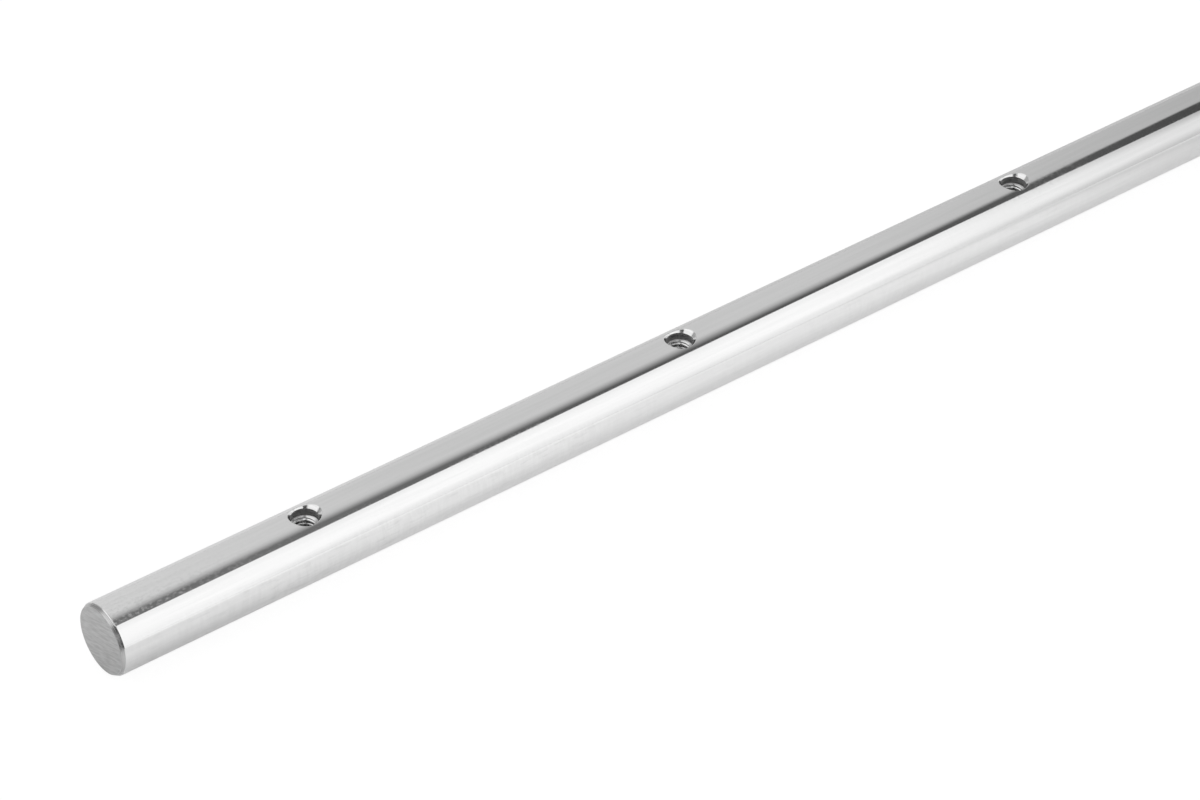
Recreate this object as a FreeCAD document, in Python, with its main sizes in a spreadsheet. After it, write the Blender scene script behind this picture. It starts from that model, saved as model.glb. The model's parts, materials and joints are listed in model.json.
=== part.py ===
"""Tapped linear shaft: a hardened and ground round bar with a row of blind tapped holes.

Millimetres. The origin is on the shaft's axis at half its length, +X runs along the shaft
and +Z points out of the tapped holes.
"""
import FreeCAD, Part
import os
import Sketcher

SHEET = "dimensions"

# Driving dimensions: name, value in millimetres, degrees or a count, and what it measures.
DIMENSIONS = [
    ("shaft_diameter", 12.0, "ground outside diameter"),
    ("shaft_length", 300.0, "end to end"),
    ("chamfer_length", 0.75, "lead-in chamfer at both ends, along the axis"),
    ("chamfer_depth", 0.4, "lead-in chamfer at both ends, across the radius"),
    ("hole_spacing", 75.0, "from one tapped hole to the next"),
    ("end_distance", 37.5, "from the first end to the first tapped hole"),
    ("hole_count", 4, "tapped holes in the row"),
    ("thread_diameter", 4.0, "nominal size of the thread"),
    ("thread_pitch", 0.7, "coarse pitch of the thread, which sets the tapping drill"),
    ("bore_depth", 9.0, "full-diameter depth of the tapping drill, from the crest"),
    ("relief_diameter", 4.5, "clearance drilled through the hardened skin"),
    ("relief_depth", 2.0, "depth of that clearance, from the crest"),
    ("drill_point_angle", 118.0, "point of both drills"),
    ("countersink_diameter", 5.6, "mouth of the countersink, at the crest"),
    ("countersink_angle", 60.0, "full angle of the countersink"),
]


def make_sheet(doc):
    """Put the driving dimensions in a spreadsheet, one aliased cell each."""
    sheet = doc.addObject("Spreadsheet::Sheet", SHEET)
    for row, (name, value, meaning) in enumerate(DIMENSIONS, start=1):
        sheet.set(f"A{row}", name)
        sheet.set(f"B{row}", str(value))
        sheet.set(f"C{row}", meaning)
        sheet.setAlias(f"B{row}", name)
    doc.recompute()
    return sheet


def bind(target, **expressions):
    """Bind properties to expressions in which each {name} is a cell of the sheet."""
    cells = {name: f"<<{SHEET}>>.{name}" for name, _, _ in DIMENSIONS}
    for prop, expression in expressions.items():
        target.setExpression(prop, expression.format(**cells))


def origin_feature(body, role):
    """Find one of the body's own origin planes or axes."""
    return next(item for item in body.Origin.OriginFeatures if item.Role == role)


def new_sketch(body, name, role):
    """Start a sketch on one of the body's origin planes."""
    sketch = body.newObject("Sketcher::SketchObject", name)
    sketch.AttachmentSupport = (origin_feature(body, role), "")
    sketch.MapMode = "FlatFace"
    return sketch


def add_bar(doc, body):
    """Round bar, centred on the origin along X."""
    sketch = new_sketch(body, "bar_section", "YZ_Plane")
    circle = sketch.addGeometry(Part.Circle(), False)
    sketch.addConstraint(Sketcher.Constraint("Coincident", circle, 3, -1, 1))
    diameter = sketch.addConstraint(Sketcher.Constraint("Diameter", circle, 1.0))
    sketch.renameConstraint(diameter, "outside")
    bind(sketch, **{"Constraints.outside": "{shaft_diameter}"})

    bar = body.newObject("PartDesign::Pad", "bar")
    bar.Profile = sketch
    bar.SideType = "Symmetric"
    bind(bar, Length="{shaft_length}")
    doc.recompute()
    return bar


def add_end_chamfers(doc, body, bar):
    """Shallow lead-in chamfer round both ends."""
    end_edges = [
        f"Edge{index}"
        for index, edge in enumerate(bar.Shape.Edges, start=1)
        if isinstance(edge.Curve, Part.Circle)
    ]
    chamfer = body.newObject("PartDesign::Chamfer", "end_chamfers")
    chamfer.Base = (bar, end_edges)
    chamfer.ChamferType = "Two distances"
    bind(chamfer, Size="{chamfer_length}", Size2="{chamfer_depth}")
    doc.recompute()
    return chamfer


def add_hole_centre(doc, body):
    """Centre of the first tapped hole, in a sketch level with the shaft's crest."""
    sketch = new_sketch(body, "hole_centre", "XY_Plane")
    bind(sketch, **{"AttachmentOffset.Base.z": "{shaft_diameter} / 2"})
    circle = sketch.addGeometry(Part.Circle(), False)
    on_axis = Sketcher.Constraint("PointOnObject", circle, 3, -1)
    sketch.addConstraint(on_axis)
    from_middle = sketch.addConstraint(Sketcher.Constraint("DistanceX", circle, 3, -1, 1, 1.0))
    sketch.renameConstraint(from_middle, "from_middle")
    diameter = sketch.addConstraint(Sketcher.Constraint("Diameter", circle, 1.0))
    sketch.renameConstraint(diameter, "relief")
    bind(
        sketch,
        **{
            "Constraints.from_middle": "{shaft_length} / 2 - {end_distance}",
            "Constraints.relief": "{relief_diameter}",
        },
    )
    doc.recompute()
    return sketch


def add_drilled_hole(doc, body, name, centre, **sizes):
    """One straight drilled hole with a pointed bottom."""
    hole = body.newObject("PartDesign::Hole", name)
    hole.Profile = centre
    doc.recompute()
    hole.ThreadType = "None"
    hole.DepthType = "Dimension"
    hole.DrillPoint = "Angled"
    bind(hole, DrillPointAngle="{drill_point_angle}", **sizes)
    return hole


def add_tapped_holes(doc, body):
    """Row of tapped holes: countersunk relief through the hard skin, then the tapping bore."""
    centre = add_hole_centre(doc, body)
    relief = add_drilled_hole(
        doc, body, "skin_relief", centre,
        Diameter="{relief_diameter}",
        Depth="{relief_depth}",
    )
    relief.HoleCutType = "Countersink"
    relief.HoleCutCustomValues = True
    bind(
        relief,
        HoleCutDiameter="{countersink_diameter}",
        HoleCutCountersinkAngle="{countersink_angle}",
    )
    doc.recompute()
    bore = add_drilled_hole(
        doc, body, "tapping_bore", centre,
        Diameter="{thread_diameter} - {thread_pitch}",
        Depth="{bore_depth}",
    )
    doc.recompute()

    row = body.newObject("PartDesign::LinearPattern", "hole_row")
    row.Originals = [relief, bore]
    row.Direction = (origin_feature(body, "X_Axis"), [""])
    row.Mode = "Spacing"
    bind(row, Offset="{hole_spacing}", Occurrences="{hole_count}")
    body.Tip = row
    doc.recompute()
    return row


def check(doc, body):
    """Stop before anything is written if a feature failed or the solid is not sound."""
    failed = [item.Name for item in doc.Objects if {"Invalid", "Error"} & set(item.State)]
    if failed:
        raise RuntimeError(f"failed features: {failed}")
    if body.Shape.isNull() or not body.Shape.isValid() or len(body.Shape.Solids) != 1:
        raise RuntimeError("the shaft is not one valid solid")


def main():
    doc = FreeCAD.newDocument("tapped_linear_shaft")
    make_sheet(doc)
    body = doc.addObject("PartDesign::Body", "shaft")
    body.Label = "tapped_shaft"
    bar = add_bar(doc, body)
    add_end_chamfers(doc, body, bar)
    add_tapped_holes(doc, body)
    check(doc, body)
    os.makedirs("parts", exist_ok=True)
    body.Shape.exportStep(f"parts/{body.Label}.step")
    print(f"{body.Label}: {body.Shape.Volume:.2f} mm3, {body.Shape.BoundBox}")


main()
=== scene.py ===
"""Tapped linear shaft: ground steel bar with threaded holes, on a white table in a soft studio.

Metres, in the CAD frame: +X along the shaft, +Z out of the tapped holes, origin at mid-length.
"""

import json
import math
from collections import namedtuple

import bpy
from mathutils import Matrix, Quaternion, Vector


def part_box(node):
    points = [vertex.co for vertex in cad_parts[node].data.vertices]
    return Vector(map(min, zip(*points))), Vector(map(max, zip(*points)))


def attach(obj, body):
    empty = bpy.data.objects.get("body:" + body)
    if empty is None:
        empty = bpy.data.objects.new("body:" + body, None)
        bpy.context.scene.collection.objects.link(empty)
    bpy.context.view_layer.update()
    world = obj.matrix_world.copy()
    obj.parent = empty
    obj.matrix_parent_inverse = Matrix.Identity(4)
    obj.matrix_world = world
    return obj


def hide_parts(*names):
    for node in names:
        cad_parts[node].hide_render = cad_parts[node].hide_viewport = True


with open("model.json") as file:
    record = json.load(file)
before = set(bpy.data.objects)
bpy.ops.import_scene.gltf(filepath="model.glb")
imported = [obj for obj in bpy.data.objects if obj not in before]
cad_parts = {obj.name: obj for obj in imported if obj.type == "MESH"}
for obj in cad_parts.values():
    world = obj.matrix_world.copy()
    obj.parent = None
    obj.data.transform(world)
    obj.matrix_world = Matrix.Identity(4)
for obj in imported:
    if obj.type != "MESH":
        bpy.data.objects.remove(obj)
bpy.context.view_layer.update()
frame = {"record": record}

MM = 0.001
NODE = "tapped_shaft"
WHITE = (1.0, 1.0, 1.0, 1.0)

# Shaft, from the frame
LOW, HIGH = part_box(NODE)
RADIUS = HIGH.z
HALF_LENGTH = HIGH.x
HOLES = [mount for mount in frame["record"]["mounts"] if mount["kind"] == "threaded_hole"]
HOLE_PLACES = [hole["pos_m"][0] for hole in HOLES]
BORE_RADIUS = HOLES[0]["dims"]["r_mm"] * MM

# Sizes that the record doesn't hold, as in the CAD
CHAMFER_LENGTH = 0.75 * MM
CHAMFER_DEPTH = 0.4 * MM
COUNTERSINK_RADIUS = 2.8 * MM
RELIEF_RADIUS = 2.25 * MM
BORE_DEPTH = 9.0 * MM
DRILL_HALF_ANGLE = math.radians(59)

# Sizes fitted to the photo, where the CAD has 30 degrees, 2.0 mm and 59 degrees
COUNTERSINK_HALF_ANGLE = math.radians(35)
RELIEF_DEPTH = 2.1 * MM
SHOULDER_HALF_ANGLE = math.radians(67.5)

# Thread and broken edges, which only the scene has
THREAD_RADIUS = 2.0 * MM
THREAD_PITCH = 0.7 * MM
THREAD_LEAD = THREAD_PITCH / (2 * math.pi)
THREAD_ROOT = THREAD_PITCH / 8
THREAD_DEPTH = 8.0 * MM
THREAD_RUNOUT = 1.4 * MM
THREAD_PHASE = 0.11  # share of a turn
FLANK_ANGLE = math.radians(60)  # from the hole's axis
EDGE_BREAK = 0.04 * MM
CHAMFER_BREAK = 0.20 * MM
RIM_BREAK = 0.06 * MM

# Levels in a hole, as heights above the shaft's axis
SEAT = RADIUS - (COUNTERSINK_RADIUS - RELIEF_RADIUS) / math.tan(COUNTERSINK_HALF_ANGLE)
RELIEF_FLOOR = RADIUS - RELIEF_DEPTH
BORE_END = RADIUS - BORE_DEPTH

# Mesh density: the bar's side, the square patch round each hole, and the thread
SIDES = 144
LONG_STEP = 6.0 * MM
PATCH_STEPS = 28
PATCH_RINGS = 3
CREST_STEPS = 6
LOWER_FLANK_STEPS = 2
ROOT_STEPS = 2
UPPER_FLANK_STEPS = 4
SPARE_TURNS = 3

# Mesh limits: rounds that find the rim, the least distance from a ring, and what counts as on a hole's axis
RIM_ROUNDS = 12
RING_CLEARANCE = 0.02 * MM
ON_AXIS = 1e-9

GROUND, TURNED, FACED, COUNTERSUNK, DRILLED, TAPPED = range(6)


class Skin:
    """Welded mesh under construction. Each face corner keeps the true normal of its surface."""

    def __init__(self):
        self.points = []
        self.faces = []
        self.normals = []
        self.finishes = []

    def add(self, point):
        self.points.append(point)
        return len(self.points) - 1

    def ring(self, points):
        return [self.add(point) for point in points]

    def face(self, corners, normals, finish):
        """Add a face turned to its normals. Corners that fell together are left out."""
        kept = dict(zip(corners, normals))
        if len(kept) < 3:
            return
        corners = list(kept)
        normals = list(kept.values())
        first, second, third = (self.points[corner] for corner in corners[:3])
        turned = (second - first).cross(third - first)
        if len(corners) == 4:
            turned += (third - first).cross(self.points[corners[3]] - first)
        if turned.dot(normals[0] + normals[1] + normals[2]) < 0:
            corners.reverse()
            normals.reverse()
        self.faces.append(corners)
        self.normals.extend(normals)
        self.finishes.append(finish)

    def strip(self, outer, inner, finish, outer_normal, inner_normal=None):
        """Quads between two closed rings. Two normals make a rounded edge."""
        inner_normal = inner_normal or outer_normal
        ways = (outer_normal, outer_normal, inner_normal, inner_normal)
        for here in range(len(outer)):
            there = (here + 1) % len(outer)
            corners = (outer[here], outer[there], inner[there], inner[here])
            normals = [way(self.points[corner]) for way, corner in zip(ways, corners)]
            self.face(corners, normals, finish)

    def fan(self, ring, centre, finish, normal):
        """Triangles from a closed ring to one point."""
        tip = self.add(centre)
        for here in range(len(ring)):
            corners = (ring[here], ring[(here + 1) % len(ring)], tip)
            self.face(corners, [normal(self.points[corner]) for corner in corners], finish)

    def to_object(self, name, materials):
        mesh = bpy.data.meshes.new(name)
        mesh.from_pydata(self.points, [], self.faces)
        for material in materials:
            mesh.materials.append(material)
        mesh.polygons.foreach_set("material_index", self.finishes)
        mesh.polygons.foreach_set("use_smooth", [True] * len(self.faces))
        mesh.normals_split_custom_set(self.normals)
        mesh.update()
        made = bpy.data.objects.new(name, mesh)
        bpy.context.scene.collection.objects.link(made)
        return made


def around(x, radius, angle):
    """Point about the shaft's axis, at an angle from the crest."""
    return Vector((x, radius * math.sin(angle), radius * math.cos(angle)))


def side_normal(point):
    return Vector((0.0, point.y, point.z)).normalized()


def slanted_normal(lean):
    """Normal of an end's surface: lean is 0 on the bar's side and 1 (or -1) on its flat end."""
    def normal(point):
        outward = side_normal(point) if abs(lean) < 1 else Vector()
        return (math.sqrt(1 - lean * lean) * outward + Vector((lean, 0.0, 0.0))).normalized()
    return normal


def inward_normal(x, half_angle):
    """Normal of a cone that opens upwards about a hole's axis, or of a straight wall at angle 0."""
    def normal(point):
        across = Vector((x - point.x, -point.y, 0.0))
        if across.length < ON_AXIS:
            return Vector((0.0, 0.0, 1.0))
        return math.cos(half_angle) * across.normalized() + Vector((0.0, 0.0, math.sin(half_angle)))
    return normal


def steps_between(start, end, longest):
    """Evenly spaced places from start up to end, without end."""
    count = max(1, math.ceil((end - start) / longest))
    return [start + (end - start) * step / count for step in range(count)]


def side_columns():
    """Places of the side's mesh columns along the bar, and the column where each hole's patch starts."""
    reach = RADIUS * math.pi * PATCH_STEPS / SIDES
    end = HALF_LENGTH - CHAMFER_LENGTH
    columns = []
    patches = []
    edge = -end
    for x in HOLE_PLACES:
        columns += steps_between(edge, x - reach, LONG_STEP)
        patches.append(len(columns))
        columns += [x - reach + 2 * reach * step / PATCH_STEPS for step in range(PATCH_STEPS)]
        edge = x + reach
    columns += steps_between(edge, end, LONG_STEP) + [end]
    return columns, patches


def patch_loop(grid, start):
    """Closed ring of mesh points round the patch that starts at a column."""
    far = start + PATCH_STEPS
    loop = [grid[column, 0] for column in range(start, far)]
    loop += [grid[far, row] for row in range(PATCH_STEPS)]
    loop += [grid[column, PATCH_STEPS] for column in range(far, start, -1)]
    loop += [grid[start, row] for row in range(PATCH_STEPS, 0, -1)]
    return loop


def build_side(skin):
    """The ground side of the bar, with a hole in each square patch. Returns the rings at its two ends."""
    columns, patches = side_columns()
    angles = [2 * math.pi * (row - PATCH_STEPS / 2) / SIDES for row in range(SIDES)]
    open_cells = {start + step for start in patches for step in range(PATCH_STEPS)}
    inner_lines = {start + step for start in patches for step in range(1, PATCH_STEPS)}
    grid = {}
    for column, x in enumerate(columns):
        for row, angle in enumerate(angles):
            if column not in inner_lines or not 0 < row < PATCH_STEPS:
                grid[column, row] = skin.add(around(x, RADIUS, angle))
    for column in range(len(columns) - 1):
        for row in range(SIDES):
            if column in open_cells and row < PATCH_STEPS:
                continue
            above = (row + 1) % SIDES
            corners = [grid[column, row], grid[column + 1, row], grid[column + 1, above], grid[column, above]]
            skin.face(corners, [side_normal(skin.points[corner]) for corner in corners], GROUND)
    for x, start in zip(HOLE_PLACES, patches):
        build_hole(skin, x, patch_loop(grid, start))
    first = [grid[0, row] for row in range(SIDES)]
    last = [grid[len(columns) - 1, row] for row in range(SIDES)]
    return first, last


def rim_radius(bearing):
    """Distance of the countersink's rim from the hole's axis, where its cone meets the round bar."""
    radius = COUNTERSINK_RADIUS
    for _ in range(RIM_ROUNDS):
        crest_drop = RADIUS - math.sqrt(RADIUS ** 2 - (radius * math.sin(bearing)) ** 2)
        radius = COUNTERSINK_RADIUS - crest_drop * math.tan(COUNTERSINK_HALF_ANGLE)
    return radius


class Hole:
    """Tapped hole under construction: rings about its upright axis, each joined to the one before."""

    def __init__(self, skin, x, loop):
        self.skin = skin
        self.x = x
        self.ring = loop
        self.edge = [skin.points[corner] for corner in loop]
        self.edge_angles = [math.atan2(point.y, point.z) for point in self.edge]
        self.bearings = [
            math.atan2(RADIUS * angle, point.x - x) for angle, point in zip(self.edge_angles, self.edge)
        ]
        self.rims = [rim_radius(bearing) for bearing in self.bearings]

    def make_ring(self, radii, heights):
        return self.skin.ring(
            Vector((self.x + radius * math.cos(bearing), radius * math.sin(bearing), height))
            for radius, height, bearing in zip(radii, heights, self.bearings)
        )

    def make_level_ring(self, radius, height):
        return self.make_ring([radius] * len(self.bearings), [height] * len(self.bearings))

    def join(self, ring, finish, outer_normal, inner_normal=None):
        self.skin.strip(self.ring, ring, finish, outer_normal, inner_normal)
        self.ring = ring

    def add_patch(self):
        """Ground skin from the patch's square edge to the lip of the hole."""
        lips = [rim + RIM_BREAK for rim in self.rims]
        angles = [math.asin(lip * math.sin(bearing) / RADIUS) for lip, bearing in zip(lips, self.bearings)]
        places = [self.x + lip * math.cos(bearing) for lip, bearing in zip(lips, self.bearings)]
        for step in range(1, PATCH_RINGS + 1):
            share = step / PATCH_RINGS
            ring = self.skin.ring(
                around(point.x + (place - point.x) * share, RADIUS, start + (angle - start) * share)
                for point, place, start, angle in zip(self.edge, places, self.edge_angles, angles)
            )
            self.join(ring, GROUND, side_normal)

    def add_countersink(self):
        """Broken rim, and the cone from there down to the relief."""
        cone = inward_normal(self.x, COUNTERSINK_HALF_ANGLE)
        slope = math.tan(COUNTERSINK_HALF_ANGLE)
        mouths = [rim - RIM_BREAK * slope for rim in self.rims]
        for share, outer_normal in ((0.0, side_normal), (0.5, cone), (1.0, cone)):
            radii = [mouth + (RELIEF_RADIUS - mouth) * share for mouth in mouths]
            heights = [SEAT + (radius - RELIEF_RADIUS) / slope for radius in radii]
            self.join(self.make_ring(radii, heights), COUNTERSUNK, outer_normal, cone)

    def add_relief(self):
        """Straight wall through the hardened skin, and the shoulder that its drill leaves."""
        wall = inward_normal(self.x, 0.0)
        for share in (0.5, 1.0):
            height = SEAT + (RELIEF_FLOOR - SEAT) * share
            self.join(self.make_level_ring(RELIEF_RADIUS, height), DRILLED, wall)
        radius = THREAD_RADIUS + 2 * EDGE_BREAK
        height = RELIEF_FLOOR - (RELIEF_RADIUS - radius) / math.tan(SHOULDER_HALF_ANGLE)
        shoulder = inward_normal(self.x, SHOULDER_HALF_ANGLE)
        self.join(self.make_level_ring(radius, height), TAPPED, shoulder)

    def add_bore(self):
        """Thread, and the drill's point below it."""
        bottom = self.make_level_ring(BORE_RADIUS, BORE_END)
        Thread(self, bottom).build()
        tip = Vector((self.x, 0.0, BORE_END - BORE_RADIUS / math.tan(DRILL_HALF_ANGLE)))
        self.skin.fan(bottom, tip, DRILLED, inward_normal(self.x, DRILL_HALF_ANGLE))


def build_hole(skin, x, loop):
    """One tapped hole, from the edge of its patch inwards."""
    hole = Hole(skin, x, loop)
    hole.add_patch()
    hole.add_countersink()
    hole.add_relief()
    hole.add_bore()


# Mesh row of the thread: its drop along the axis, its radius, and the slopes at its top and bottom
Row = namedtuple("Row", "drop radius top_slope bottom_slope")

# Mesh point of the thread: its index, its depth, and how far the shoulder's cone is outside the thread there
Corner = namedtuple("Corner", "index below over")


def thread_rows():
    """One turn of the thread, as mesh rows: rounded crest, lower flank, flat root and upper flank."""
    depth = THREAD_RADIUS - BORE_RADIUS
    steep = math.tan(FLANK_ANGLE)
    rounded = 2 * math.sin(FLANK_ANGLE) - 2 * (1 - math.cos(FLANK_ANGLE)) / steep
    crest_radius = (THREAD_PITCH - THREAD_ROOT - 2 * depth / steep) / rounded
    flank = (depth - crest_radius * (1 - math.cos(FLANK_ANGLE))) / steep

    rows = []
    turns = [FLANK_ANGLE * (2 * step / CREST_STEPS - 1) for step in range(CREST_STEPS + 1)]
    for top, bottom in zip(turns, turns[1:]):
        drop = crest_radius * (math.sin(top) + math.sin(FLANK_ANGLE))
        radius = BORE_RADIUS + crest_radius * (1 - math.cos(top))
        rows.append(Row(drop, radius, math.tan(top), math.tan(bottom)))
    drop = 2 * crest_radius * math.sin(FLANK_ANGLE)
    radius = THREAD_RADIUS - steep * flank
    for length, count, slope in (
        (flank, LOWER_FLANK_STEPS, steep),
        (THREAD_ROOT, ROOT_STEPS, 0.0),
        (flank, UPPER_FLANK_STEPS, -steep),
    ):
        for _ in range(count):
            rows.append(Row(drop, radius, slope, slope))
            drop += length / count
            radius += slope * length / count
    return rows


class Thread:
    """Right-hand thread from a hole's last ring down to its bottom ring. Mesh rows follow the helix.

    The shoulder's cone runs on below the last ring until it meets the thread. Mesh points close to
    that seam are moved onto it.
    """

    def __init__(self, hole, bottom):
        self.skin = hole.skin
        self.x = hole.x
        self.bearings = hole.bearings
        self.swept = [(bearing - self.bearings[0]) % (2 * math.pi) for bearing in self.bearings]
        self.top = hole.ring
        self.bottom = bottom
        self.start = self.skin.points[self.top[0]].z
        self.depth = self.start - self.skin.points[bottom[0]].z
        self.end = THREAD_DEPTH - (RADIUS - self.start)
        self.top_radius = RELIEF_RADIUS - (RELIEF_FLOOR - self.start) * math.tan(SHOULDER_HALF_ANGLE)
        self.shoulder_normal = inward_normal(self.x, SHOULDER_HALF_ANGLE)
        self.rows = thread_rows()
        self.corners = {}

    def row(self, number):
        return self.rows[number % len(self.rows)]

    def depth_at(self, number, column):
        """Depth of a mesh row below the top ring."""
        turns = number // len(self.rows) - 1 + THREAD_PHASE
        return turns * THREAD_PITCH + self.row(number).drop - THREAD_LEAD * self.swept[column]

    def fullness(self, below):
        """Share of the thread's full height that is left at a depth."""
        return min(1.0, max(0.0, (self.end - below) / THREAD_RUNOUT))

    def radius_at(self, number, below):
        return BORE_RADIUS + (self.row(number).radius - BORE_RADIUS) * self.fullness(below)

    def cone_radius(self, below):
        return self.top_radius - below * math.tan(SHOULDER_HALF_ANGLE)

    def cone_over(self, number, below):
        """How far the shoulder's cone is outside the thread: 0 on their seam."""
        return self.cone_radius(below) - self.radius_at(number, below)

    def make_corner(self, number, column):
        below = self.depth_at(number, column)
        over = self.cone_over(number, below)
        for beside in (number - 1, number + 1):
            reach = self.depth_at(beside, column)
            there = self.cone_over(beside, reach)
            if (over > 0) != (there > 0) and abs(over) < abs(there):
                below += (reach - below) * over / (over - there)
                over = 0.0
                break
        if below < RING_CLEARANCE:
            return Corner(self.top[column], 0.0, 1.0)
        if below > self.depth - RING_CLEARANCE:
            return Corner(self.bottom[column], self.depth, -1.0)
        radius = self.cone_radius(below) if over >= 0 else self.radius_at(number, below)
        bearing = self.bearings[column]
        across = Vector((math.cos(bearing), math.sin(bearing), 0.0))
        point = Vector((self.x, 0.0, self.start - below)) + radius * across
        return Corner(self.skin.add(point), below, over)

    def corner(self, number, column):
        """Mesh corner, made when first asked for. Past its last column a row goes on one turn above."""
        if column == len(self.bearings):
            return self.corner(number - len(self.rows), 0)
        if (number, column) not in self.corners:
            self.corners[number, column] = self.make_corner(number, column)
        return self.corners[number, column]

    def normal(self, corner, slope):
        slope *= self.fullness(corner.below)
        point = self.skin.points[corner.index]
        across = Vector((point.x - self.x, point.y, 0.0))
        radius = across.length
        across.normalize()
        sideways = Vector((-across.y, across.x, 0.0))
        upright = Vector((0.0, 0.0, slope))
        return (slope * THREAD_LEAD / radius * sideways - across - upright).normalized()

    def add_face(self, corners, slopes):
        """Face of the shoulder's cone, or else of the thread."""
        indices = [corner.index for corner in corners]
        if min(corner.over for corner in corners) >= 0:
            normals = [self.shoulder_normal(self.skin.points[index]) for index in indices]
        else:
            normals = [self.normal(corner, slope) for corner, slope in zip(corners, slopes)]
        self.skin.face(indices, normals, TAPPED)

    def add_cell(self, corners, slopes):
        """One face, or two where the seam runs across from corner to corner."""
        overs = [corner.over for corner in corners]
        if not min(overs) < 0 < max(overs):
            self.add_face(corners, slopes)
            return
        first = 0 if overs[0] == overs[2] == 0 else 1
        for order in ((first, first + 1, first + 2), (first + 2, (first + 3) % 4, first)):
            self.add_face([corners[index] for index in order], [slopes[index] for index in order])

    def build(self):
        turns = math.ceil(self.depth / THREAD_PITCH) + SPARE_TURNS
        for number in range(turns * len(self.rows)):
            row = self.row(number)
            slopes = (row.top_slope, row.top_slope, row.bottom_slope, row.bottom_slope)
            for column in range(len(self.bearings)):
                places = (
                    (number, column),
                    (number, column + 1),
                    (number + 1, column + 1),
                    (number + 1, column),
                )
                self.add_cell([self.corner(*place) for place in places], slopes)


def build_end(skin, ring, side):
    """Lead-in chamfer and flat end, with slightly broken edges. side is -1 or 1."""
    angles = [math.atan2(skin.points[corner].y, skin.points[corner].z) for corner in ring]
    lean = side * CHAMFER_DEPTH / math.hypot(CHAMFER_DEPTH, CHAMFER_LENGTH)
    bar, chamfer, flat = slanted_normal(0.0), slanted_normal(lean), slanted_normal(side)
    taper = CHAMFER_DEPTH / CHAMFER_LENGTH
    profile = (
        (CHAMFER_LENGTH - CHAMFER_BREAK, RADIUS - CHAMFER_BREAK * taper, GROUND, bar, chamfer),
        (EDGE_BREAK, RADIUS - CHAMFER_DEPTH + EDGE_BREAK * taper, TURNED, chamfer, chamfer),
        (0.0, RADIUS - CHAMFER_DEPTH - EDGE_BREAK, TURNED, chamfer, flat),
        (0.0, RADIUS / 2, FACED, flat, flat),
    )
    previous = ring
    for inset, radius, finish, outer, inner in profile:
        x = side * (HALF_LENGTH - inset)
        current = skin.ring(around(x, radius, angle) for angle in angles)
        skin.strip(previous, current, finish, outer, inner)
        previous = current
    skin.fan(previous, Vector((side * HALF_LENGTH, 0.0, 0.0)), FACED, flat)


class Graph:
    """Adds and links shader nodes."""

    def __init__(self, tree):
        self.tree = tree
        tree.nodes.clear()

    def node(self, kind, inputs=None, **settings):
        made = self.tree.nodes.new(kind)
        for name, value in settings.items():
            setattr(made, name, value)
        for name, value in (inputs or {}).items():
            if isinstance(value, bpy.types.NodeSocket):
                self.tree.links.new(value, made.inputs[name])
            else:
                made.inputs[name].default_value = value
        return made

    def math(self, operation, first, second=0.0):
        return self.node("ShaderNodeMath", {0: first, 1: second}, operation=operation).outputs[0]

    def product(self, first, *others):
        for other in others:
            first = self.math("MULTIPLY", first, other)
        return first

    def blend(self, first, second, share):
        """First where the share is 0, second where it is 1."""
        rise = self.math("MULTIPLY", share, self.math("SUBTRACT", second, first))
        return self.math("ADD", first, rise)

    def dot(self, first, second):
        made = self.node("ShaderNodeVectorMath", {0: first, 1: second}, operation="DOT_PRODUCT")
        return made.outputs["Value"]

    def ramp(self, value, low, high, out_low, out_high):
        """Map low..high smoothly to out_low..out_high, held at both ends."""
        sockets = {"Value": value, "From Min": low, "From Max": high, "To Min": out_low, "To Max": out_high}
        return self.node("ShaderNodeMapRange", sockets, interpolation_type="SMOOTHSTEP").outputs["Result"]

    def split(self, vector):
        return self.node("ShaderNodeSeparateXYZ", {"Vector": vector}).outputs

    def place(self):
        """The object's own coordinates."""
        return self.node("ShaderNodeTexCoord").outputs["Object"]

    def turned_place(self, angle):
        """The object's own coordinates, turned about the shaft's axis."""
        sockets = {"Vector": self.place(), "Angle": angle}
        return self.node("ShaderNodeVectorRotate", sockets, rotation_type="X_AXIS").outputs["Vector"]

    def noise(self, scale, detail=2.0, roughness=0.5, place=None):
        """Noise stretched by a scale for each axis, in cycles per metre."""
        sockets = {"Vector": place or self.place(), "Scale": scale}
        stretched = self.node("ShaderNodeMapping", sockets).outputs["Vector"]
        sockets = {"Vector": stretched, "Scale": 1.0, "Detail": detail, "Roughness": roughness}
        return self.node("ShaderNodeTexNoise", sockets).outputs["Fac"]

    def grey(self, value):
        sockets = {"Red": value, "Green": value, "Blue": value}
        return self.node("ShaderNodeCombineColor", sockets).outputs["Color"]


def new_material(name):
    material = bpy.data.materials.new(name)
    material.use_nodes = True
    return material, Graph(material.node_tree)


# Depths of the bump, roughness of dull specks, and the usual ranges of noise that marks are drawn from
FINE_BUMP = 0.001 * MM
COARSE_BUMP = 0.004 * MM
SPECK_ROUGHNESS = 0.27
WIDE_SPAN = (0.3, 0.7)
NARROW_SPAN = (0.35, 0.65)


def bare_steel(graph, tone, roughness, height, depth):
    """Metal surface whose bump is a height from 0 to 1 times a depth in metres."""
    bump = graph.node("ShaderNodeBump", {"Height": height, "Strength": 1.0, "Distance": depth})
    shader = graph.node("ShaderNodeBsdfPrincipled", {
        "Base Color": graph.grey(tone),
        "Metallic": 1.0,
        "Roughness": roughness,
        "Normal": bump.outputs["Normal"],
    })
    graph.node("ShaderNodeOutputMaterial", {"Surface": shader.outputs["BSDF"]})


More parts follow.
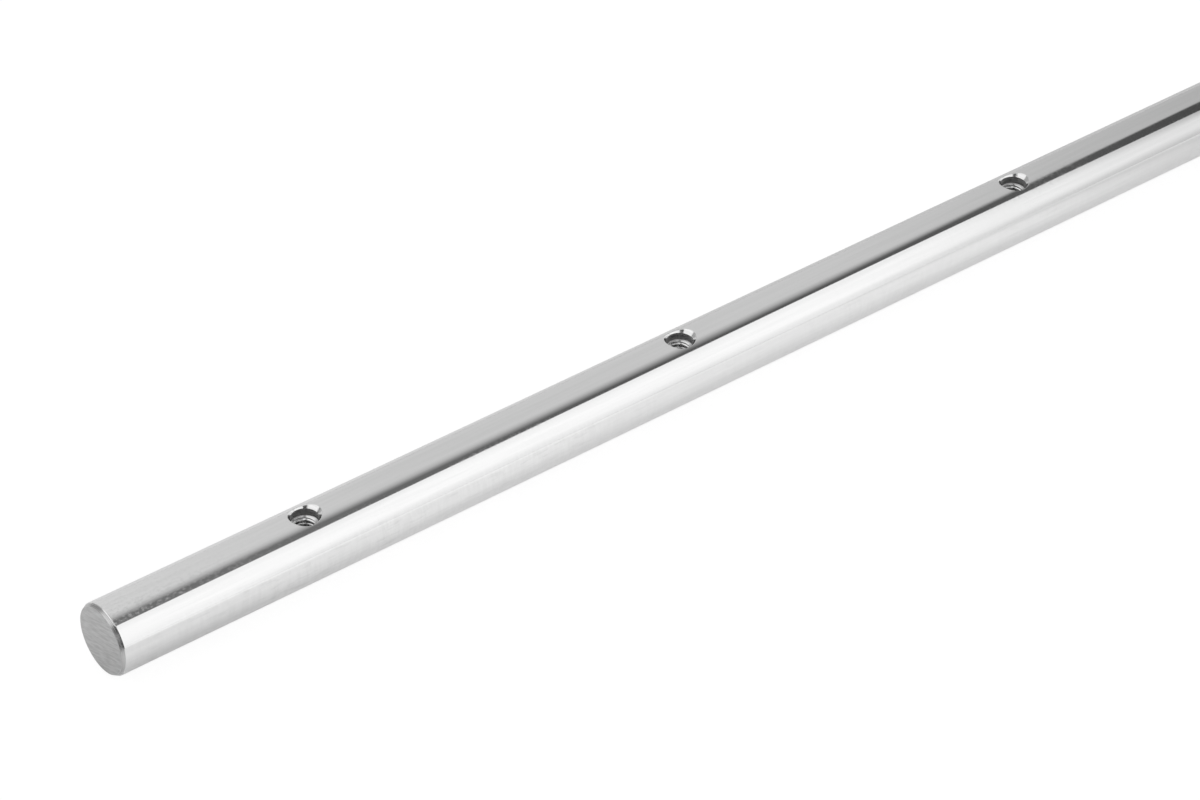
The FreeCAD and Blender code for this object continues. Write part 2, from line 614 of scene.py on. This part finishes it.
# Marks on the ground side: cycles per metre along each axis
GRIND_SCALE = (2600.0, 110.0, 110.0)
STREAK_SCALE = (40.0, 1300.0, 1300.0)
SPECK_SCALE = (1700.0, 2200.0, 2200.0)
PATCH_SCALE = (35.0, 60.0, 60.0)
LINE_SCALE = (1700.0, 420.0, 420.0)
DASH_SCALE = (260.0, 1500.0, 1500.0)

# Their ramps: two values of a noise, or two places on the bar, and what comes out there
GRIND_ROUGHNESS = (*WIDE_SPAN, 0.05, 0.08)
SPECK_SHARE = (0.44, 0.60, 0.0, 1.0)
SPECKS_IN_PATCHES = (0.5, 0.7, 0.05, 0.4)
SPECKS_ALONG_BAR = (-HALF_LENGTH, 55 * MM - HALF_LENGTH, 1.0, 0.0)
SPECKS_BY_HEIGHT = (4.95 * MM, 5.15 * MM, 0.0, 1.0)
STREAK_TONE = (*WIDE_SPAN, 0.775, 0.805)
LINE_TONE = (*WIDE_SPAN, 0.97, 1.03)
DASH_TONE = (0.56, 0.70, 1.0, 0.92)
WEAR_IN_PATCHES = (*NARROW_SPAN, 0.4, 1.0)
WEAR_ALONG_BAR = (-100 * MM, 20 * MM, 1.0, 0.35)
WEAR_BY_HEIGHT = (1.5 * MM, 3.5 * MM, 1.0, 0.1)


def dull_specks(graph, place, patches):
    """Share of dull specks: dense near the crest of the near end, and in scattered patches elsewhere."""
    specks = graph.ramp(graph.noise(SPECK_SCALE, detail=3.0, roughness=0.6), *SPECK_SHARE)
    near_end = graph.product(
        graph.ramp(place["X"], *SPECKS_ALONG_BAR),
        graph.ramp(place["Z"], *SPECKS_BY_HEIGHT),
    )
    ragged = graph.math("MAXIMUM", near_end, graph.ramp(patches, *SPECKS_IN_PATCHES))
    return graph.product(specks, ragged)


def worn_tone(graph, place, patches):
    """Tone of the side: faint streaks along the bar, with lines and dashes where its flanks are worn."""
    worn = graph.product(
        graph.ramp(patches, *WEAR_IN_PATCHES),
        graph.ramp(place["Z"], *WEAR_BY_HEIGHT),
        graph.ramp(place["X"], *WEAR_ALONG_BAR),
    )
    lines = graph.ramp(graph.noise(LINE_SCALE), *LINE_TONE)
    dashes = graph.ramp(graph.noise(DASH_SCALE), *DASH_TONE)
    return graph.product(
        graph.ramp(graph.noise(STREAK_SCALE, detail=3.0), *STREAK_TONE),
        graph.blend(1.0, lines, worn),
        graph.blend(1.0, dashes, worn),
    )


def ground_steel():
    """Ground side: fine grinding lines round the bar, and the marks of handling."""
    material, graph = new_material("ground_steel")
    place = graph.split(graph.place())
    patches = graph.noise(PATCH_SCALE)
    grind = graph.noise(GRIND_SCALE, detail=3.0)
    clean = graph.ramp(grind, *GRIND_ROUGHNESS)
    roughness = graph.blend(clean, SPECK_ROUGHNESS, dull_specks(graph, place, patches))
    bare_steel(graph, worn_tone(graph, place, patches), roughness, grind, FINE_BUMP)
    return material


def lined_steel(name, scale, tones, roughnesses):
    """Steel with fine lines, across which its tone and roughness change."""
    material, graph = new_material(name)
    lines = graph.noise(scale)
    tone = graph.ramp(lines, *WIDE_SPAN, *tones)
    roughness = graph.ramp(lines, *WIDE_SPAN, *roughnesses)
    bare_steel(graph, tone, roughness, lines, FINE_BUMP)
    return material


# Lines left by turning and by the cutting tools, in cycles per metre along each axis
TURNING_SCALE = (9000.0, 150.0, 150.0)
CUTTING_SCALE = (250.0, 250.0, 6000.0)


def turned_steel():
    """Chamfers: duller than the side, with turning lines round the bar."""
    return lined_steel("turned_steel", TURNING_SCALE, tones=(0.45, 0.58), roughnesses=(0.20, 0.30))


def cut_steel(name, tones, roughnesses):
    """Surfaces cut inside a hole: lines round the hole's axis."""
    return lined_steel(name, CUTTING_SCALE, tones, roughnesses)


# Straight marks on the ends, turned about the shaft's axis
MARKS_SCALE = (300.0, 380.0, 3000.0)
MARKS_TURN = math.radians(18)
MARKS_TONE = (*NARROW_SPAN, 0.47, 0.57)
MARKS_ROUGHNESS = (*NARROW_SPAN, 0.46, 0.38)


def faced_steel():
    """Sawn and faced ends: dull, with fine straight marks."""
    material, graph = new_material("faced_steel")
    turned = graph.turned_place(MARKS_TURN)
    marks = graph.noise(MARKS_SCALE, detail=3.0, roughness=0.6, place=turned)
    tone = graph.ramp(marks, *MARKS_TONE)
    roughness = graph.ramp(marks, *MARKS_ROUGHNESS)
    bare_steel(graph, tone, roughness, marks, COARSE_BUMP)
    return material


def make_shaft():
    skin = Skin()
    first, last = build_side(skin)
    build_end(skin, first, -1)
    build_end(skin, last, 1)
    finishes = {
        GROUND: ground_steel(),
        TURNED: turned_steel(),
        FACED: faced_steel(),
        COUNTERSUNK: cut_steel("countersunk_steel", tones=(0.72, 0.80), roughnesses=(0.12, 0.18)),
        DRILLED: cut_steel("drilled_steel", tones=(0.36, 0.44), roughnesses=(0.36, 0.48)),
        TAPPED: cut_steel("tapped_steel", tones=(0.70, 0.78), roughnesses=(0.16, 0.24)),
    }
    shaft = skin.to_object("threaded_shaft", [finishes[index] for index in sorted(finishes)])
    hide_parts(NODE)
    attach(shaft, "root")


def flat_piece(name, corners, material):
    """Four-cornered piece of the stage."""
    mesh = bpy.data.meshes.new(name)
    mesh.from_pydata(corners, [], [(0, 1, 2, 3)])
    mesh.materials.append(material)
    piece = bpy.data.objects.new(name, mesh)
    bpy.context.scene.collection.objects.link(piece)
    return piece


# White table under the shaft, as it is seen and as the metal mirrors it
TABLE_SIZE = 3.0
SEEN_REFLECTANCE = 0.18
SEEN_GLOW = 0.88
MIRRORED_REFLECTANCE = 0.75

# Ramps of its glow in the metal, which paint light and shadow on the table: two places along the shaft or
# across it, and what comes out there
GLOW_START = (-172 * MM, -152 * MM, 0.0, 1.0)
GLOW_RISE = (-150 * MM, -60 * MM, 0.24, 0.34)
GLOW_FALL = (40 * MM, 110 * MM, 0.0, 0.23)
GLOW_FORWARD = (-150 * MM, -40 * MM, 0.12, 0.0)
# Painted shadow: less glow close beside the shaft and behind it
PAINTED_SHADOW_BESIDE_SHAFT = (-150 * MM, -85 * MM, 0.08, 0.20)
PAINTED_SHADOW_BEHIND_SHAFT = (-100 * MM, 80 * MM, 0.15, 0.0)
PAST_PAINTED_SHADOW = (-18 * MM, -3 * MM, 1.0, 0.0)
BACK_HALF = (0.0, 10 * MM, 0.0, 1.0)


def paper(graph, reflectance, glow):
    """Matt white that also glows, so that a shadow only greys it."""
    return graph.node("ShaderNodeBsdfPrincipled", {
        "Base Color": [reflectance] * 3 + [1.0],
        "Roughness": 1.0,
        "Specular IOR Level": 0.0,
        "Emission Color": WHITE,
        "Emission Strength": glow,
    }).outputs["BSDF"]


def painted_table_light(graph):
    """Glow of the table in the metal, which is painted light and shade: a painted shadow close beside and
    behind the shaft, brighter in front of the shaft than behind it, and fading far along.
    """
    place = graph.split(graph.place())
    along, across = place["X"], place["Y"]
    lit = graph.product(graph.ramp(along, *GLOW_START), graph.ramp(along, *GLOW_RISE))
    fading = graph.math("SUBTRACT", lit, graph.ramp(along, *GLOW_FALL))
    painted_light_ahead = graph.math("ADD", fading, graph.ramp(across, *GLOW_FORWARD))
    # Painted shadow: the glow is low close beside the shaft, and the painted light in front takes over
    # further out
    painted_shadow_beside = graph.ramp(along, *PAINTED_SHADOW_BESIDE_SHAFT)
    front = graph.blend(painted_shadow_beside, painted_light_ahead, graph.ramp(across, *PAST_PAINTED_SHADOW))
    # Painted shadow behind the shaft: its glow there is lower, and fades along the bar
    back = graph.ramp(along, *PAINTED_SHADOW_BEHIND_SHAFT)
    return graph.blend(front, back, graph.ramp(across, *BACK_HALF))


def make_table():
    material, graph = new_material("white_table")
    seen = paper(graph, SEEN_REFLECTANCE, SEEN_GLOW)
    mirrored = paper(graph, MIRRORED_REFLECTANCE, painted_table_light(graph))
    in_metal = graph.node("ShaderNodeLightPath").outputs["Is Glossy Ray"]
    mixed = graph.node("ShaderNodeMixShader", {0: in_metal, 1: seen, 2: mirrored})
    graph.node("ShaderNodeOutputMaterial", {"Surface": mixed.outputs[0]})
    half = TABLE_SIZE / 2
    corners = [(-half, -half, LOW.z), (half, -half, LOW.z), (half, half, LOW.z), (-half, half, LOW.z)]
    flat_piece("table", corners, material)


# Black card in front of the near end, which shows only in the metal
CARD_PLACE = Vector((-177 * MM, -81.5 * MM, 0.0))
CARD_WIDTH = 56 * MM
CARD_TOP = 165 * MM
CARD_TONE = 0.09


def make_card():
    material, graph = new_material("black_card")
    paint = graph.node("ShaderNodeEmission", {"Color": [CARD_TONE] * 3 + [1.0], "Strength": 1.0})
    graph.node("ShaderNodeOutputMaterial", {"Surface": paint.outputs[0]})
    towards = Vector((-HALF_LENGTH, 0.0, 0.0)) - CARD_PLACE
    sideways = Vector((-towards.y, towards.x, 0.0)).normalized() * CARD_WIDTH / 2
    left, right = CARD_PLACE - sideways, CARD_PLACE + sideways
    corners = [(side.x, side.y, height) for side, height in (
        (left, LOW.z), (right, LOW.z), (right, CARD_TOP), (left, CARD_TOP),
    )]
    card = flat_piece("card", corners, material)
    card.visible_camera = False
    card.visible_diffuse = False
    card.visible_shadow = False


# Studio: panels that leave dark gaps between them, given by the directions that they fill
FRONT_EDGE = (-0.373, 0.760, 0.532)
FRONT_LEVEL = 1.20
FRONT_FAR_LEVEL = 0.75 * FRONT_LEVEL
BACK_EDGE = (-0.358, 0.913, 0.198)
BACK_LEVEL = 0.78
BACK_FAR_LEVEL = 0.72 * BACK_LEVEL
SIDE_LEVEL = 1.12
CORNER_EDGE = (0.707, 0.707, 0.0)
CORNER_LEVEL = 0.45
TOP_SEAM = (-0.755, 0.655, 0.0)
LENS_WAY = (-0.535, -0.481, 0.695)
SEAM_LEVEL = 0.10

# Ramps of the studio: two parts of a ray, or two distances from an edge, and what comes out there
FRONT_BEND_OUT = (0.45, 0.58, 0.0, 0.026)
FRONT_BEND_BACK = (0.58, 0.66, 0.0, 0.06)
FRONT_SHARPNESS = (-0.006, 0.006, 1.0, 0.0)
FRONT_RIM_WIDTH = (-0.35, 0.0)
FRONT_RIM_LEVEL = (0.60, 0.665, 0.92, 0.55)
FRONT_FOOT_HEIGHT = (0.03, 0.36)
FRONT_FOOT_NEAR = (0.40, 0.45, 0.95, 0.85)
FRONT_FOOT_FAR = (0.56, 0.64, 1.0, 0.85)
FRONT_FADE = (0.555, 0.67, FRONT_LEVEL, FRONT_FAR_LEVEL)
BACK_SHIFT_IN = (0.40, 0.54, 0.01, 0.068)
BACK_SHIFT_OUT = (0.55, 0.66, 0.0, 0.13)
BACK_SOFTNESS = (0.54, 0.64, 0.27, 0.05)
BACK_RISE = (-1.0, 1.0, 0.0, 1.0)
BACK_DIP = (0.38, 0.47, 1.0, 0.9)
BACK_FADE = (0.55, 0.68, BACK_LEVEL, BACK_FAR_LEVEL)
GAP_NEAR = (0.42, 0.54, 0.19, 0.11)
GAP_FAR = (0.61, 0.65, 0.0, 0.035)
SIDE_NEAR = (0.05, 0.15, 1.0, 0.0)
SIDE_FAR = (0.70, 0.78, 0.0, 1.0)
CORNER_HEIGHT = (0.70, 0.82, 1.0, 0.0)
CORNER_SHARPNESS = (-0.02, 0.04, 0.0, 1.0)
CORNER_LENGTH = (0.1, 0.2, 1.0, 0.0)
BACK_SEAM_WIDTH = (0.07, 0.13, 1.0, 0.0)
BACK_SEAM_HEIGHT = (0.08, 0.30, 1.0, 0.0)
BACK_SEAM_START = (0.0, 0.1, 0.0, 1.0)
TOP_SEAM_WIDTH = (0.04, 0.08, 1.0, 0.0)
TOP_SEAM_HEIGHT = (0.75, 0.85, 0.0, 1.0)
TOP_SEAM_LENGTH = (0.2, 0.3, 1.0, 0.0)
LENS_WIDTH = (0.955, 0.985, 0.0, 1.0)


class Studio(Graph):
    """Brightness of the studio by the direction of a ray, whose parts are along X, Y and Z.

    An edge or a seam is given by the normal of the plane through it and the shaft.
    """

    def __init__(self, tree):
        super().__init__(tree)
        self.ray = self.node("ShaderNodeTexCoord").outputs["Generated"]
        self.along, self.depth, self.height = self.split(self.ray)

    def front_panel(self):
        """Panel on the camera's side, with a sharp bent edge. It is dimmer at that edge and at its foot."""
        bend_out = self.ramp(self.along, *FRONT_BEND_OUT)
        bend = self.math("SUBTRACT", bend_out, self.ramp(self.along, *FRONT_BEND_BACK))
        past_edge = self.math("SUBTRACT", self.dot(self.ray, FRONT_EDGE), bend)
        rim_level = self.ramp(self.along, *FRONT_RIM_LEVEL)
        foot_near = self.ramp(self.along, *FRONT_FOOT_NEAR)
        foot_level = self.product(foot_near, self.ramp(self.along, *FRONT_FOOT_FAR))
        return self.product(
            self.ramp(past_edge, *FRONT_SHARPNESS),
            self.ramp(past_edge, *FRONT_RIM_WIDTH, 1.0, rim_level),
            self.ramp(self.height, *FRONT_FOOT_HEIGHT, foot_level, 1.0),
            self.ramp(self.along, *FRONT_FADE),
        )

    def back_panel(self):
        """Panel behind the shaft, whose soft edge sharpens and moves far along the shaft."""
        softness = self.ramp(self.along, *BACK_SOFTNESS)
        shift_in = self.ramp(self.along, *BACK_SHIFT_IN)
        shift = self.math("SUBTRACT", shift_in, self.ramp(self.along, *BACK_SHIFT_OUT))
        inside = self.math("ADD", self.dot(self.ray, BACK_EDGE), shift)
        return self.product(
            self.ramp(self.math("DIVIDE", inside, softness), *BACK_RISE),
            self.ramp(self.along, *BACK_DIP),
            self.ramp(self.along, *BACK_FADE),
        )

    def gap(self):
        """Dark room behind the panels."""
        return self.math("SUBTRACT", self.ramp(self.along, *GAP_NEAR), self.ramp(self.along, *GAP_FAR))

    def sides(self):
        """Share of the panels beyond the two ends of the shaft."""
        return self.math("ADD", self.ramp(self.along, *SIDE_NEAR), self.ramp(self.along, *SIDE_FAR))

    def corner(self, past_corner):
        """Share of the dim corner behind the near end."""
        return self.product(
            self.ramp(self.height, *CORNER_HEIGHT),
            self.ramp(past_corner, *CORNER_SHARPNESS),
            self.ramp(self.along, *CORNER_LENGTH),
        )

    def back_seam(self, past_corner):
        """Share of the dark seam down the dim corner, near the table."""
        return self.product(
            self.ramp(self.math("ABSOLUTE", past_corner), *BACK_SEAM_WIDTH),
            self.ramp(self.height, *BACK_SEAM_HEIGHT),
            self.ramp(self.depth, *BACK_SEAM_START),
        )

    def top_seam(self):
        """Share of the dark seam overhead."""
        return self.product(
            self.ramp(self.math("ABSOLUTE", self.dot(self.ray, TOP_SEAM)), *TOP_SEAM_WIDTH),
            self.ramp(self.height, *TOP_SEAM_HEIGHT),
            self.ramp(self.along, *TOP_SEAM_LENGTH),
        )

    def lens(self):
        """Share of the dark lens."""
        return self.ramp(self.dot(self.ray, LENS_WAY), *LENS_WIDTH)

    def level(self):
        """Brightness of the whole studio."""
        panels = self.math("MAXIMUM", self.front_panel(), self.back_panel())
        level = self.math("MAXIMUM", panels, self.gap())
        past_corner = self.dot(self.ray, CORNER_EDGE)
        for covering, share in (
            (SIDE_LEVEL, self.sides()),
            (CORNER_LEVEL, self.corner(past_corner)),
            (SEAM_LEVEL, self.back_seam(past_corner)),
            (SEAM_LEVEL, self.top_seam()),
            (SEAM_LEVEL, self.lens()),
        ):
            level = self.blend(level, covering, share)
        return level


def light_studio():
    """The studio lights the shaft and shows in it. The camera itself sees plain white."""
    world = bpy.data.worlds.new("studio")
    bpy.context.scene.world = world
    world.use_nodes = True
    graph = Studio(world.node_tree)
    studio = graph.node("ShaderNodeBackground", {"Color": WHITE, "Strength": graph.level()})
    plain = graph.node("ShaderNodeBackground", {"Color": WHITE, "Strength": 1.0})
    seen = graph.node("ShaderNodeLightPath").outputs["Is Camera Ray"]
    mixed = graph.node("ShaderNodeMixShader", {0: seen, 1: studio.outputs[0], 2: plain.outputs[0]})
    graph.node("ShaderNodeOutputWorld", {"Surface": mixed.outputs[0]})


# Camera: where it looks, from how far and from which side, and its lens and sensor in millimetres
CAMERA_TARGET = Vector((-53.42 * MM, 0.81 * MM, 0.0))
CAMERA_DISTANCE = 647.83 * MM
CAMERA_HEADING = math.radians(49.84)
CAMERA_ELEVATION = math.radians(37.66)
CAMERA_ROLL = math.radians(1.91)
CAMERA_LENS = 120.16
SENSOR_WIDTH = 36.0
CLIP_START = 10 * MM


def set_camera():
    data = bpy.data.cameras.new("camera")
    data.sensor_fit = "HORIZONTAL"
    data.sensor_width = SENSOR_WIDTH
    data.lens = CAMERA_LENS
    data.clip_start = CLIP_START
    level = math.cos(CAMERA_ELEVATION)
    ahead = Vector((
        level * math.cos(CAMERA_HEADING),
        level * math.sin(CAMERA_HEADING),
        -math.sin(CAMERA_ELEVATION),
    ))
    roll = Quaternion((0.0, 0.0, 1.0), CAMERA_ROLL)
    camera = bpy.data.objects.new("camera", data)
    camera.location = CAMERA_TARGET - CAMERA_DISTANCE * ahead
    camera.rotation_euler = (ahead.to_track_quat("-Z", "Y") @ roll).to_euler()
    bpy.context.scene.collection.objects.link(camera)
    bpy.context.scene.camera = camera


make_shaft()
make_table()
make_card()
light_studio()
set_camera()
bpy.context.scene.view_settings.view_transform = "Standard"
